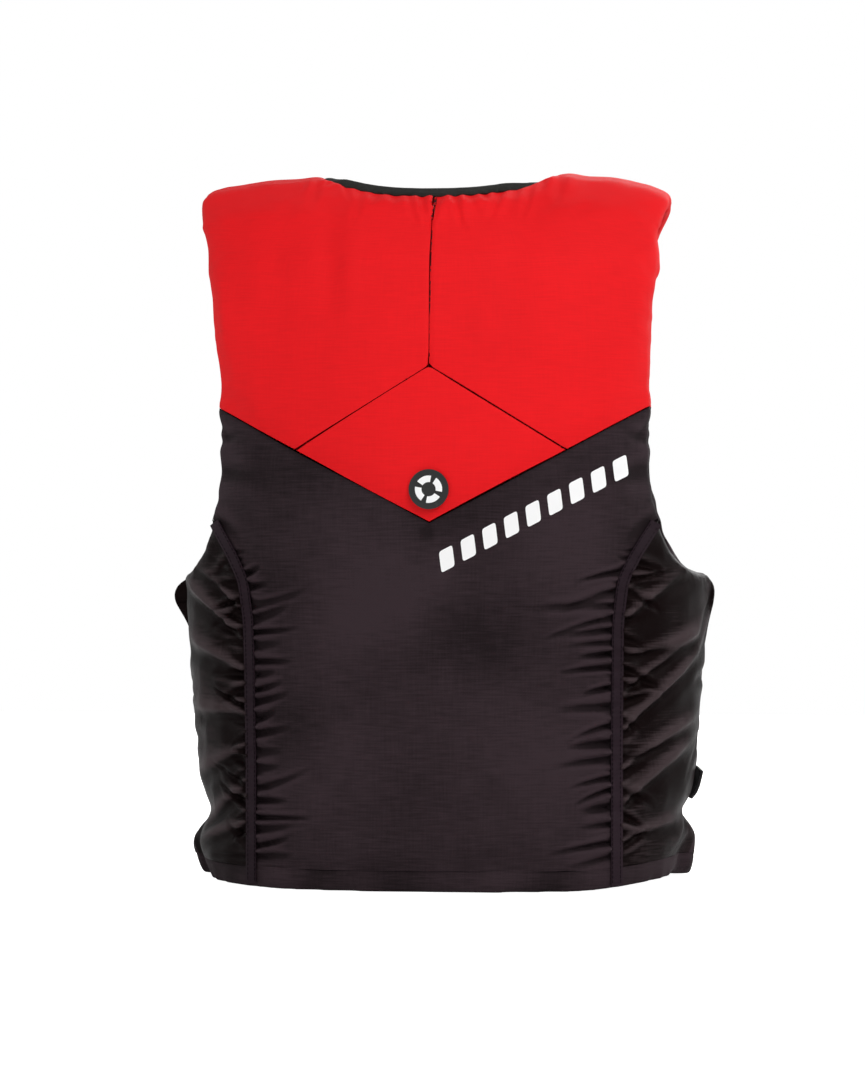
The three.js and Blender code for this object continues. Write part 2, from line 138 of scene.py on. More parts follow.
def extruded(*move):
    return lambda: bpy.ops.mesh.extrude_region_move(TRANSFORM_OT_translate={"value": move})


def inset(width):
    return lambda: bpy.ops.mesh.inset(thickness=width * mm)


def vectorsOf(items, label):
    values = np.zeros(len(items) * 3, np.float32)
    items.foreach_get(label, values)
    return values.reshape(-1, 3).astype(float)


def pointsOf(obj):
    return vectorsOf(obj.data.vertices, "co")


def normalsOf(obj):
    return vectorsOf(obj.data.vertex_normals, "vector")


def facesOf(obj):
    # Each face's centre and normal.
    return vectorsOf(obj.data.polygons, "center"), vectorsOf(obj.data.polygons, "normal")


def movePoints(obj, co):
    obj.data.vertices.foreach_set("co", np.asarray(co, np.float32).ravel())
    obj.data.update()


def merged(obj, distance=1e-5):
    return editAll(obj, lambda: bpy.ops.mesh.remove_doubles(threshold=distance))


def duplicate(obj, name):
    copy = bpy.data.objects.new(name, obj.data.copy())
    scene.collection.objects.link(copy)
    return copy


def joined(name, objs):
    selectOnly(*objs)
    if len(objs) > 1:
        bpy.ops.object.join()
    objs[0].name = name
    return objs[0]


def copyOfNodes(name, *nodes):
    copy = joined(name, [duplicate(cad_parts[node], name) for node in nodes])
    copy.data.materials.clear()
    return merged(copy)


def modified(obj, kind, **values):
    modifier = obj.modifiers.new(kind.lower(), kind)
    for label, value in values.items():
        setattr(modifier, label, value)
    return applyModifiers(obj)


def remeshed(obj, voxel):
    return modified(obj, "REMESH", mode="VOXEL", voxel_size=voxel)


def evened(obj, times):
    return modified(obj, "SMOOTH", factor=0.5, iterations=times)


def thickened(obj, thickness):
    return modified(obj, "SOLIDIFY", thickness=thickness * mm, offset=1)


def smoothed(obj, degrees=50):
    selectOnly(obj)
    bpy.ops.object.shade_smooth_by_angle(angle=math.radians(degrees))
    return obj


def bevelled(obj, width, segments=2, degrees=30):
    return modified(obj, "BEVEL", width=width, segments=segments, limit_method="ANGLE",
                    angle_limit=math.radians(degrees))


def added(operator, **values):
    bpy.ops.object.select_all(action="DESELECT")
    operator(**values)
    return bpy.context.active_object


def turnedOut(obj):
    # Flips the faces of a piece on the back when most of them look inwards.
    _, facing = facesOf(obj)
    if facing[:, 1].mean() > 0:
        editAll(obj, bpy.ops.mesh.flip_normals)
    return obj


def biggestIsland(obj):
    editAll(obj, lambda: bpy.ops.mesh.separate(type="LOOSE"))
    parts = sorted(bpy.context.selected_objects, key=lambda o: len(o.data.vertices))
    for small in parts[:-1]:
        bpy.data.objects.remove(small)
    return parts[-1]


# The vest's body: back, sides and both fronts as one stuffed form, cut along its seams afterwards
body = {
    "voxel": 0.005,
    "cloth": {"quality": 4, "mass": 0.3, "tension_stiffness": 20, "compression_stiffness": 20,
              "bending_stiffness": 2, "uniform_pressure_force": 4.0},
    "frames": 20,
    "evening": 3,
    "mostSwell": 0.0035,
}
bodyNodes = [
    "back_foam_upper", "back_foam_lower", "back_yoke_left", "back_yoke_right", "back_kite_panel",
    "back_lower_panel", "back_lining", "back_hem_band", "armhole_gusset_back_left",
    "armhole_gusset_back_right", "side_foam_left", "side_foam_right", "side_panel_left",
    "side_panel_right",
]
for hand in ("left", "right"):
    bodyNodes += [
        f"front_foam_{hand}", f"front_yoke_{hand}", f"front_panel_{hand}", f"front_lining_{hand}",
        f"front_hem_band_{hand}", f"armhole_gusset_front_{hand}",
    ]

# Lines of the pattern, as (x, z) in millimetres on the wearer's right half
princess = [(141, -20), (141, 110), (142, 205), (146, 238), (156, 258), (171, 282), (191, 305)]
yokeTip, yokeSlope = 282, 0.527
kiteTop, kiteReach = 401, 104.2
hemTop = 16.15


def yokeEdge(x):
    return yokeTip + yokeSlope * abs(x)


def eased(edge0, edge1, value):
    t = np.clip((value - edge0) / (edge1 - edge0), 0, 1)
    return t * t * (3 - 2 * t)


def bell(value, width):
    return np.exp(-((value / width) ** 2))


# Length along the cloth round the body from the centre line, which the weave and folds follow
planTurn = np.linspace(0, math.pi / 2, 200)
planX = 0.212 * np.sin(planTurn)
planY = 0.134 * (1 - np.sin(planTurn) ** 2.6) ** (1 / 2.6)
planArc = np.concatenate([[0], np.cumsum(np.hypot(np.diff(planX), np.diff(planY)))])
planAngle = np.arctan2(planX, planY)


def around(co):
    angle = np.arctan2(np.abs(co[:, 0]), np.abs(co[:, 1] - seamY) + 1e-6)
    return np.interp(angle, planAngle, planArc)


seamRows = {"z": np.linspace(0, 0.3, 31), "depth": np.full(31, 0.11)}


def findSeam(co):
    # How deep the outer cloth is along the long back seam, at each height.
    behind, x = seamY - co[:, 1], np.abs(co[:, 0])
    for row, z in enumerate(seamRows["z"]):
        lineX = np.interp(z, [p[1] * mm for p in princess], [p[0] * mm for p in princess])
        near = (np.abs(co[:, 2] - z) < 8 * mm) & (np.abs(x - lineX) < 4 * mm)
        if near.any():
            seamRows["depth"][row] = behind[near].max()


def seamDistance(co):
    # Signed distance round the body from the long back seam, outwards being positive.
    lineX = np.interp(co[:, 2], [p[1] * mm for p in princess], [p[0] * mm for p in princess])
    across = np.abs(co[:, 0]) - lineX
    back = seamY - co[:, 1] - np.interp(co[:, 2], seamRows["z"], seamRows["depth"])
    return np.sign(across - back * 0.8) * np.hypot(across, np.clip(back, None, 0.02))


def neckEdge(x):
    return 560 - 22 * (1 - np.clip(np.abs(x) / 90, 0, 1) ** 2.4)


def settled(co):
    # The vest as it hangs: narrower over the right arm, shoulders square, hem lifted at the sides.
    x, y, z = (co / mm).T
    right, reach, low = x > 0, np.abs(x), eased(0, 1, 1 - z / 70)
    front = eased(-25, 25, y)
    pinch = np.where(right, 2.2 + 10 * front, 1.5) * eased(285, 335, z)
    pinch += np.where(right, 5.5 * (1 - front), 0) * eased(478, 515, z)
    shift = -pinch * eased(90, 170, reach) * (1 - eased(505, 538, z))
    shift += np.where(right, 0, 5.5 * eased(385, 440, z) + 3.5 * eased(495, 532, z)) * eased(110, 170, reach)
    corner = bell(z - np.where(right, 243, 247), np.where(right, 7, 9))
    shift -= np.where(right, 3, 16) * corner * (y > -6) * eased(150, 195, reach)
    shift += np.where(right, 2, 9) * bell(z - 222, 16) * (y > -6) * eased(150, 195, reach)
    shift += np.where(right, 4.5, 0) * eased(150, 200, reach) * eased(25, 60, z) * (1 - eased(225, 260, z))
    shift -= np.where(right, 6, 6.5) * bell(z - 55, 12) * eased(150, 195, reach)
    shift += np.where(right, 3.5 * bell(z - 32, 13), 5.5 * bell(z - 26, 14)) * eased(150, 190, reach)
    rise = np.where(right, 8, 1.5) * eased(105, 215, reach) * low * (1 - 0.8 * front)
    rise += np.where(right, 2, 6) * bell(reach - 184, 22) * eased(500, 548, z)
    return co + np.stack([np.sign(x) * shift, 0 * x, rise], 1) * mm


def outwardness(co, normals):
    # How far each normal faces away from the wearer.
    out = np.stack([co[:, 0] / 0.212**2, (co[:, 1] - seamY) / 0.134**2, 0 * co[:, 0]], 1)
    out /= np.linalg.norm(out, axis=1)[:, None] + 1e-9
    high = eased(0.46, 0.56, co[:, 2])[:, None]
    out = out * (1 - high * 0.5) + np.array([0, 0, 1]) * high * 0.7
    out /= np.linalg.norm(out, axis=1)[:, None] + 1e-9
    return (normals * out).sum(1)


def makeBody(values):
    vest = copyOfNodes("vestBody", *bodyNodes)
    vest = biggestIsland(remeshed(vest, values["voxel"]))
    evened(vest, values["evening"])  # takes out the steps along the slanting edges
    rest = pointsOf(vest)
    findSeam(rest)
    cloth = vest.modifiers.new("cloth", "CLOTH")
    for label, value in values["cloth"].items():
        setattr(cloth.settings, label, value)
    cloth.settings.use_pressure = True
    cloth.settings.effector_weights.gravity = 0
    cloth.collision_settings.use_collision = False
    cloth.point_cache.frame_start = 1
    cloth.point_cache.frame_end = values["frames"]
    for number in range(1, values["frames"] + 1):
        scene.frame_set(number)
    applyModifiers(vest)
    scene.frame_set(1)
    moved = pointsOf(vest) - rest
    length = np.linalg.norm(moved, axis=1)[:, None] + 1e-9
    moved *= np.minimum(length, values["mostSwell"]) / length
    z, x = rest[:, 2] / mm, np.abs(rest[:, 0]) / mm
    front = rest[:, 1] > seamY
    held = 1 - 0.75 * bell(z - yokeEdge(x), 9)
    held *= np.where(front, 1 - bell(z - 78, 22), 1 - 0.9 * bell(seamDistance(rest) / mm, 9))
    held *= np.where(front, eased(12, 34, x), 1)
    held *= eased(14, 34, z) * (1 - 0.6 * eased(525, 556, z))
    co = rest + moved * held[:, None]
    co[:, 2] = np.maximum(co[:, 2], 0)
    movePoints(vest, co)
    return modified(vest, "SUBSURF", levels=1, render_levels=1)


vestBody = makeBody(body)
print("body filled:", len(vestBody.data.polygons), "faces")


def cutter(outline, yLow, yHigh):
    # A bar through the vest with the outline of one pattern piece.
    shape = bpy.data.meshes.new("cutter")
    shape.from_pydata([(x * mm, yLow, z * mm) for x, z in outline], [], [range(len(outline))])
    bar = bpy.data.objects.new("cutter", shape)
    scene.collection.objects.link(bar)
    return editAll(bar, extruded(0, yHigh - yLow, 0), turnNormals)


def cutPiece(name, outline, yLow, yHigh):
    piece = duplicate(vestBody, name)
    bar = cutter(outline, yLow, yHigh)
    modified(piece, "BOOLEAN", operation="INTERSECT", object=bar, solver="MANIFOLD")
    bpy.data.objects.remove(bar)
    return piece


def flipped(outline):
    return [(-x, z) for x, z in outline][::-1]


yokeSide = yokeEdge(300)
kiteSide = yokeEdge(kiteReach)
upOut = [(300, 700), (0, 700)]
yokeOutline = [(0, kiteTop), (kiteReach, kiteSide), (300, yokeSide)] + upOut
kiteOutline = [(0, yokeTip), (kiteReach, kiteSide), (0, kiteTop), (-kiteReach, kiteSide)]
seamSide = [(141, hemTop)] + princess[1:]
lowerHalf = seamSide + [(300, 305), (300, yokeSide)]
lowerOutline = lowerHalf + [(0, yokeTip)] + flipped(lowerHalf)
sideOutline = [(300, hemTop), (300, 305)] + seamSide[::-1]
hemOutline = [(-300, -50), (300, -50), (300, hemTop), (-300, hemTop)]
frontYokeOutline = [(0, yokeTip), (300, yokeSide)] + upOut
frontPanelOutline = [(0, hemTop), (300, hemTop), (300, yokeSide), (0, yokeTip)]
frontHemOutline = [(0, -50), (300, -50), (300, hemTop), (0, hemTop)]

pads = {}
for name, outline in {
    "backYokeRight": yokeOutline, "backYokeLeft": flipped(yokeOutline), "backKite": kiteOutline,
    "backLower": lowerOutline, "sideRight": sideOutline, "sideLeft": flipped(sideOutline),
    "hemBack": hemOutline,
}.items():
    pads[name] = cutPiece(name, outline, -0.3, seamY)
for name, outline in {
    "frontYokeRight": frontYokeOutline, "frontYokeLeft": flipped(frontYokeOutline),
    "frontPanelRight": frontPanelOutline, "frontPanelLeft": flipped(frontPanelOutline),
    "hemFrontRight": frontHemOutline, "hemFrontLeft": flipped(frontHemOutline),
}.items():
    pads[name] = cutPiece(name, outline, seamY, 0.3)
bpy.data.objects.remove(vestBody)
print("cut into", len(pads), "pieces:", {n: len(p.data.polygons) for n, p in pads.items()})


# Finer faces where the cloth is gathered
for name in ("backLower", "sideRight", "sideLeft", "backYokeRight", "backYokeLeft"):
    centres, normals = facesOf(pads[name])
    chosen = outwardness(centres, normals) > 0.3
    if name == "backLower":
        chosen &= np.abs(seamDistance(centres)) < 62 * mm
    if name.startswith("backYoke"):
        chosen &= (centres[:, 2] > 0.49) & (np.abs(centres[:, 0]) < 0.13)
    editFaces(pads[name], chosen, subdivide)
print("gathered areas refined")


# Gathers and folds
backGathers = dict(length=(16, 50), width=(2.0, 3.4), depth=(2.4, 4.6), slope=(0.0, 0.34), pitch=(8, 16))
tinyGathers = dict(length=(5, 13), width=(1.3, 2.0), depth=(0.8, 1.6), slope=(-0.2, 0.2), pitch=(4, 7.5))
sideGathers = dict(length=(14, 44), width=(2.0, 3.6), depth=(1.8, 3.4), slope=(-0.5, 0.5), pitch=(7, 14))
sideFolds = dict(length=(50, 100), width=(5, 9), depth=(1.4, 2.8), slope=(-0.75, 0.75), pitch=(24, 40))
neckGathers = dict(length=(8, 32), width=(2.4, 4.4), depth=(0.7, 1.7), slope=(-0.5, 0.5), pitch=(8, 16))
armFolds = dict(length=(14, 44), width=(4, 8), depth=(1.0, 2.2), slope=(-0.9, 0.9), pitch=(14, 26))
# Wide creases of the satin sides: (height at the tape, slope outwards, length, width, depth)
rightCreases = [(238, 0.25, 80, 9, 3.6), (206, 0.85, 110, 12, 5.0), (178, 0.30, 95, 7, 4.0),
                (150, 0.75, 110, 9, 4.8), (118, 0.95, 120, 10, 5.2), (92, 0.60, 110, 8, 4.6),
                (62, 0.80, 115, 12, 5.2), (38, 0.25, 90, 7, 3.6)]
leftCreases = [(236, 1.10, 60, 7, 3.6), (212, 0.95, 85, 8, 4.4), (190, 0.80, 100, 9, 4.8),
               (166, 0.45, 95, 9, 4.4), (136, 0.05, 90, 8, 4.2), (112, -0.40, 100, 9, 4.8),
               (84, -0.60, 100, 9, 4.6), (52, -0.30, 90, 9, 4.2)]
sideWidth = (planArc[-1] - np.interp(0.141, planX, planArc)) / mm  # tape to the side seam, round the body


def gathers(away, along, low, high, values, seed):
    # Grooves that start at a seam (away = 0) and fade over their length, each between two low ridges.
    draw = random.Random(seed)
    lift = np.zeros(len(away))
    place = low
    while place < high:
        length, width = draw.uniform(*values["length"]), draw.uniform(*values["width"])
        depth, slope = draw.uniform(*values["depth"]), draw.uniform(*values["slope"])
        reach = np.clip(away / length, 0, 1)
        bend = slope * away * (0.6 + 0.5 * reach)
        across = (along - place - bend) / (width * (1.1 - 0.35 * reach))
        shape = bell(across, 1) - 0.5 * bell(across - 1.8, 1) - 0.5 * bell(across + 1.8, 1)
        lift -= depth * (1 - reach**1.6) * eased(-1.5, 1.5, away) * shape
        place += draw.uniform(*values["pitch"])
    return lift


def creased(away, along, creases):
    # Ridges with a sharper lower side, narrow at the seam and broad further out.
    lift = np.zeros(len(away))
    for place, slope, length, width, depth in creases:
        reach = np.clip(away / length, 0, 1)
        across = (along - place - slope * away * (1 - 0.3 * reach)) / (width * (0.4 + 0.75 * reach))
        ridge = np.where(across > 0, bell(across, 1.2), bell(across, 0.75))
        lift += depth * (0.45 + 0.55 * reach) * (1 - reach**3) * (ridge - 0.6 * bell(across + 1.4, 0.8))
    return lift


def undulation(co, seed, size, height):
    draw = random.Random(seed)
    lift = np.zeros(len(co))
    for _ in range(5):
        turn, phase = draw.uniform(0, math.pi), draw.uniform(0, 2 * math.pi)
        along = around(co) * np.sign(co[:, 0]) * math.cos(turn) + co[:, 2] * math.sin(turn)
        lift += np.sin(along * 2 * math.pi / (size * draw.uniform(0.7, 1.6)) + phase)
    return lift * height / 3


def foldsOn(name, co, normals):
    # How far each point moves along its normal, in millimetres.
    x, z = co[:, 0] / mm, co[:, 2] / mm
    hand = 1 if name.endswith("Right") else 2
    outside = eased(0.05, 0.5, outwardness(co, normals))
    lift = undulation(co, 5, 0.11, 0.5)
    chevron = (z - yokeEdge(x)) / math.hypot(1, yokeSlope)
    lift -= 0.7 * bell(chevron, 1.9)
    if name.startswith("back") and name != "backLower":
        diagonal = (z - kiteTop + (kiteTop - kiteSide) / kiteReach * np.abs(x)) / 1.17
        lift -= 0.7 * bell(diagonal, 1.8) * (np.abs(x) < kiteReach + 3)
        lift -= 0.8 * bell(x, 1.8) * eased(kiteTop - 4, kiteTop, z) * (1 + bell(z - kiteTop - 3, 6))
    if name.startswith("backYoke"):
        neckline = neckEdge(x) - 6
        nearNeck = (np.abs(x) < 108) * eased(0, 7, neckline - z)
        lift += gathers(neckline - z - 3, x, -105, 105, neckGathers, 21) * nearNeck
        soft = bell(z - 478, 44)
        leftSoft = 1.3 * bell(x + 61, 9) - 1.9 * bell(x + 78, 9) - 1.0 * bell(x + 116, 14)
        rightSoft = 0.8 * bell(x - 96, 16) - 0.9 * bell(x - 66, 13)
        lift += np.where(x < 0, leftSoft, np.where(x > 0, rightSoft, 0)) * soft
        nearArm = 180 - np.abs(x)
        armLift = gathers(nearArm, z, 350, 520, armFolds, 30 + hand) * eased(0, 14, nearArm)
        lift += (0.45 if hand == 1 else 0.3) * armLift
    away = seamDistance(co) / mm
    if name == "backLower":
        for side, seed, stretch in ((1, 11, 1.35), (-1, 12, 1.0)):
            tilt = np.array(backGathers["slope"]) * (-1 if side > 0 else 1)
            values = {**backGathers, "slope": tuple(sorted(tilt)), "length": (18 * stretch, 54 * stretch)}
            lift += gathers(-away - 4, z, 24, 250, values, seed) * (x * side > 0)
            lift += gathers(-away - 4, z, 20, 262, tinyGathers, seed + 4) * (x * side > 0)
        lift -= 1.5 * bell(x + 2, 5) * bell(z - 274, 5)  # pucker under the tip of the yoke
        lift += gathers(174 - np.abs(x), z, 285, 372, armFolds, 44) * eased(0, 12, 174 - np.abs(x))
    if name.startswith("side"):
        lift += gathers(away - 4.5, z, 22, 262, sideGathers, 50 + hand)
        wide = creased(away, z, rightCreases if hand == 1 else leftCreases) * eased(3, 12, away)
        lift += wide * (1 - 0.9 * eased(226, 250, z)) * (1 - 0.6 * eased(60, 95, away))
        inside = sideWidth - away
        lift += 0.8 * gathers(inside, z, 30, 262, sideFolds, 70 + hand) * eased(0, 25, inside)
    if name.startswith("front"):
        lift += undulation(co, 9, 0.07, 0.5)
        inside = 206 - np.abs(x)
        lift += 0.6 * gathers(inside, z, 120, 290, sideFolds, 80 + hand) * eased(0, 30, inside)
        lift *= 1 - 0.85 * bell(z - 78, 20)
        lift *= eased(16, 30, np.abs(x))
    lift -= 1.6 * bell(away, 5.5) * (co[:, 1] < seamY) * (z < 300)
    if name.startswith("hem"):
        lift = 0.7 * undulation(co, 14, 0.07, 1) - 0.3 * bell(z - hemTop, 1.8)
    else:
        lift -= 0.35 * bell(z - hemTop, 2.2)
        lift *= 0.25 + 0.75 * eased(1, 14, z - hemTop)
    lift *= 1 - 0.9 * bell((co[:, 1] - seamY) / mm, 3.5)
    return lift * outside


for name, pad in pads.items():
    co, normals = pointsOf(pad), normalsOf(pad)
    lift = foldsOn(name, co, normals)
    # Painted shade and painted highlight: the fold depth is stored as a colour attribute, darker in the
    # grooves as shade and lighter on the ridges as sheen.
    toneAndShade = pad.data.attributes.new("foldShadeAndSheen", "FLOAT", "POINT")  # darker in folds, lighter on ridges
    toneAndShade.data.foreach_set("value", np.clip(0.5 + lift / 6, 0, 1).astype(np.float32))
    co += normals * lift[:, None] * mm
    if name.startswith("backYoke"):
        x, z = co[:, 0] / mm, co[:, 2] / mm
        top = eased(-27, -14, z - neckEdge(x))
        tucked = top * (1 - eased(56, 74, x)) * (1 - eased(76, 92, -x))  # under the binding
        raised = 4.5 + 3.5 * np.clip(1 - (x / 70) ** 2, 0, 1)
        covering = top * (eased(56, 74, x) + 0.6 * eased(80, 92, -x)) * (1 - eased(96, 118, np.abs(x)))
        co += tucked[:, None] * (raised[:, None] * np.array([0, 0, 1]) - 1.6 * normals) * mm
        co += covering[:, None] * (np.array([0, 0, 2.0]) + 0.8 * normals) * mm
    co = settled(co)
    co[:, 2] = np.maximum(co[:, 2], 0)
    movePoints(pad, co)
print("folds pressed in")


def surfaceTree(names):
    vertices, polygons = [], []
    for name in names:
        start = len(vertices)
        mesh = pads[name].data
        vertices += [v.co.copy() for v in mesh.vertices]
        polygons += [[start + i for i in p.vertices] for p in mesh.polygons]
    return BVHTree.FromPolygons(vertices, polygons)


backTree = surfaceTree(list(pads)[:7])


def outerPoint(x, z):
    # The point and normal of the back's outer cloth at (x, z), in millimetres.
    hit, normal, _, _ = backTree.ray_cast(Vector((x * mm, -0.3, z * mm)), Vector((0, 1, 0)))
    return hit, normal


# Tapes over the two long back seams
tape = {"width": 8.4, "thickness": 0.9, "lift": 0.35, "crown": 0.25, "top": 282, "steps": 130, "across": 6}


def walk(line, steps):
    # Evenly spaced (x, z, direction) along a line of the pattern, rounded at its corners.
    points = np.array(line, float)
    length = np.concatenate([[0], np.cumsum(np.hypot(*np.diff(points, axis=0).T))])
    at = np.linspace(0, length[-1], steps)
    x, z = np.interp(at, length, points[:, 0]), np.interp(at, length, points[:, 1])
    for _ in range(12):
        x[1:-1] = (x[:-2] + 2 * x[1:-1] + x[2:]) / 4
        z[1:-1] = (z[:-2] + 2 * z[1:-1] + z[2:]) / 4
    dx, dz = np.gradient(x), np.gradient(z)
    size = np.hypot(dx, dz)
    return x, z, dx / size, dz / size


def castRow(x, z):
    # Depth of the outer cloth along a row of places, evened out between its gathers.
    depth, last = [], None
    for px, pz in zip(x, z):
        hit, _ = outerPoint(px, pz)
        last = hit.y if hit else last
        depth.append(last)
    first = next(d for d in depth if d is not None)
    depth = np.array([first if d is None else d for d in depth])
    for _ in range(6):
        depth[1:-1] = (depth[:-2] + 2 * depth[1:-1] + depth[2:]) / 4
    return depth


def ribbon(name, line, values):
    steps, across = values["steps"], values["across"]
    x, z, dx, dz = walk(line, steps + 1)
    half = values["width"] / 2
    reach = half + 2
    sides = []
    for way in (-1, 1):
        near = castRow(x + way * dz * half, z - way * dx * half)
        past = castRow(x + way * dz * reach, z - way * dx * reach)
        sides.append(np.minimum(near, past))
    lowSide, highSide = sides
    strip = added(bpy.ops.mesh.primitive_grid_add, x_subdivisions=across, y_subdivisions=steps, size=1)
    strip.name = name
    co = pointsOf(strip)
    row = np.rint((co[:, 1] + 0.5) * steps).astype(int)
    side = co[:, 0] * 2
    depth = lowSide[row] * (1 - side) / 2 + highSide[row] * (1 + side) / 2
    crown = values["crown"] * (1 - side**4)
    movePoints(strip, np.stack([
        (x[row] + dz[row] * half * side) * mm,
        depth - (values["lift"] + crown) * mm,
        (z[row] - dx[row] * half * side) * mm,
    ], 1))
    editAll(strip, turnNormals)
    thickened(turnedOut(strip), values["thickness"])
    return smoothed(strip, 60), (x, z, dx, dz, lowSide, highSide)


# Stitches, modelled once and copied along each row
stitch = {"length": 2.7, "radius": 0.42, "taper": 0.55, "sides": 6}


def makeStitch(values):
    length, radius = values["length"] * mm, values["radius"] * mm
    thread = added(bpy.ops.mesh.primitive_cylinder_add, vertices=values["sides"], radius=radius,
                   depth=length * 0.7)
    for end in (1, -1):
        _, facing = facesOf(thread)
        centre = (0, 0, end * length / 2)
        editFaces(thread, facing[:, 2] * end > 0.9, extruded(0, 0, end * length * 0.15),
                  lambda: bpy.ops.transform.resize(value=(values["taper"],) * 3, center_override=centre))
    return thread


stitchShape = makeStitch(stitch)


def sewRow(name, places):
    # places: (point, direction of the thread, outward normal)
    rows = []
    for point, direction, outward in places:
        third = direction.normalized()
        first = outward.cross(third).normalized()
        second = third.cross(first)
        turn = Matrix((first, second, third)).transposed().to_4x4()
        copy = duplicate(stitchShape, name)
        copy.data.transform(Matrix.Translation(point) @ turn)
        rows.append(copy)
    return smoothed(joined(name, rows), 60)


def seamPlaces(start, end, pitch, lift=0.12):
    # Stitches straight across the back cloth from one (x, z) to another.
    start, end = Vector(start), Vector(end)
    count = int((end - start).length / pitch)
    places = []
    for i in range(count + 1):
        here = start.lerp(end, i / count)
        point, normal = outerPoint(here.x, here.y)
        ahead, _ = outerPoint(*(here + (end - start).normalized() * 0.6))
        behind, _ = outerPoint(*(here - (end - start).normalized() * 0.6))
        if point and ahead and behind:
            places.append((point + normal * lift * mm, ahead - behind, normal))
    return places


def tapePlaces(path, offset, pitch, values):
    x, z, dx, dz, lowSide, highSide = path
    length = np.concatenate([[0], np.cumsum(np.hypot(np.diff(x), np.diff(z)))])
    share = offset / (values["width"] / 2)
    crown = values["crown"] * (1 - share**4)
    out = (values["lift"] + crown + values["thickness"] + 0.05) * mm

    def spot(s):
        px, pz, alongX, alongZ, low, high = (np.interp(s, length, row) for row in path)
        depth = low * (1 - share) / 2 + high * (1 + share) / 2
        return Vector(((px + alongZ * offset) * mm, depth - out, (pz - alongX * offset) * mm))

    places = []
    for at in np.arange(pitch, length[-1] - pitch, pitch):
        direction = spot(at + 0.5) - spot(at - 0.5)
        across = Vector((np.interp(at, length, dz), 0, -np.interp(at, length, dx)))
        outward = direction.cross(across).normalized()
        if outward.y > 0:
            outward = -outward
        places.append((spot(at), direction, outward))
    return places


tapeLine = [(141, 3.5), *princess[1:5], (171, tape["top"])]
pieces = {}
for hand, _, side in hands:
    pieces["tape" + hand], path = ribbon("tape" + hand, [(side * px, pz) for px, pz in tapeLine], tape)
    places = tapePlaces(path, 2.9, 3.6, tape) + tapePlaces(path, -2.9, 3.6, tape)
    pieces["tapeStitches" + hand] = sewRow("tapeStitches" + hand, places)
pieces["centreStitches"] = sewRow("centreStitches", seamPlaces((0, 536), (0, kiteTop + 2), 3.5))
for hand, _, side in hands:
    places = seamPlaces((side * 2, kiteTop - 1), (side * (kiteReach - 1), kiteSide + 1), 3.5)
    pieces["kiteStitches" + hand] = sewRow("kiteStitches" + hand, places)
print("tapes and stitches sewn")


# Finishes
def newGroup(name, inputs, outputs):
    group = bpy.data.node_groups.new(name, "ShaderNodeTree")
    for label, kind, value in inputs:
        socket = group.interface.new_socket(name=label, in_out="INPUT", socket_type=kind)
        if value is not None:
            socket.default_value = value
    for label, kind in outputs:
        group.interface.new_socket(name=label, in_out="OUTPUT", socket_type=kind)
    return group, group.nodes.new("NodeGroupInput"), group.nodes.new("NodeGroupOutput")


def wire(tree, socket, value):
    # Links the socket, or gives it a plain value.
    if isinstance(value, bpy.types.NodeSocket):
        tree.links.new(value, socket)
    elif value is not None:
        socket.default_value = value


def addNode(tree, kind, inputs, **settings):
    node = tree.nodes.new("ShaderNode" + kind)
    for label, value in settings.items():
        setattr(node, label, value)
    for label, value in inputs.items():
        wire(tree, node.inputs[label], value)
    return node.outputs


def calc(tree, operation, first, second=None):
    return addNode(tree, "Math", {0: first, 1: second}, operation=operation)[0]


def noise(tree, vector, scale, detail=3, roughness=0.5):
    inputs = {"Vector": vector, "Scale": scale, "Detail": detail, "Roughness": roughness}
    return addNode(tree, "TexNoise", inputs)["Fac"]


def stretched(tree, vector, scale):
    return addNode(tree, "Mapping", {"Vector": vector, "Scale": scale})["Vector"]


def weaveGroup():
    # Plain weave: a thread goes over and under at every square of a checker.
    group, given, result = newGroup("plainWeave", [
        ("Along cloth", "NodeSocketVector", None), ("Threads", "NodeSocketFloat", 1500.0),
        ("Slub", "NodeSocketFloat", 0.3)], [("Height", "NodeSocketFloat"), ("Shade", "NodeSocketFloat")])
    along = given.outputs["Along cloth"]
    scaled = addNode(group, "VectorMath", {0: along, "Scale": given.outputs["Threads"]},
                     operation="SCALE")[0]
    parts = addNode(group, "SeparateXYZ", {0: scaled})
    over, under = (
        calc(group, "ABSOLUTE", calc(group, "SINE", calc(group, "MULTIPLY", parts[axis], math.pi)))
        for axis in (0, 1)
    )
    raised = addNode(group, "VectorMath", {0: scaled, 1: (0.001, 0.001, 0.5)}, operation="ADD")[0]
    checker = addNode(group, "TexChecker", {"Vector": raised, "Scale": 1})["Fac"]
    chosen = addNode(group, "Mix", {"Factor": checker, "A": over, "B": under})["Result"]
    crosswise = noise(group, stretched(group, along, (50, 760, 1)), 1, 2)
    lengthwise = noise(group, stretched(group, along, (700, 40, 1)), 1, 2)
    threads = calc(group, "ADD", calc(group, "MULTIPLY", crosswise, 0.7),
                   calc(group, "MULTIPLY", lengthwise, 0.3))
    uneven = calc(group, "MULTIPLY", threads, given.outputs["Slub"])
    wire(group, result.inputs["Height"], calc(group, "ADD", chosen, uneven))
    wire(group, result.inputs["Shade"], threads)
    return group


def wearGroup():
    # Slow changes of tone, and fine specks of lint.
    group, given, result = newGroup("handledTone", [
        ("Place", "NodeSocketVector", None), ("Patch size", "NodeSocketFloat", 9.0)],
        [("Tone", "NodeSocketFloat"), ("Speck", "NodeSocketFloat")])
    place = given.outputs["Place"]
    fine = noise(group, place, 1400, 2, 0.6)
    wire(group, result.inputs["Tone"], noise(group, place, given.outputs["Patch size"], 4))
    wire(group, result.inputs["Speck"], calc(group, "GREATER_THAN", fine, 0.72))
    return group


plainWeave = weaveGroup()
handledTone = wearGroup()


def mixedColour(tree, factor, *colours):
    first, second = (c if isinstance(c, bpy.types.NodeSocket) else (*c, 1) for c in colours)
    return addNode(tree, "Mix", {"Factor": factor, 6: first, 7: second}, data_type="RGBA")[2]


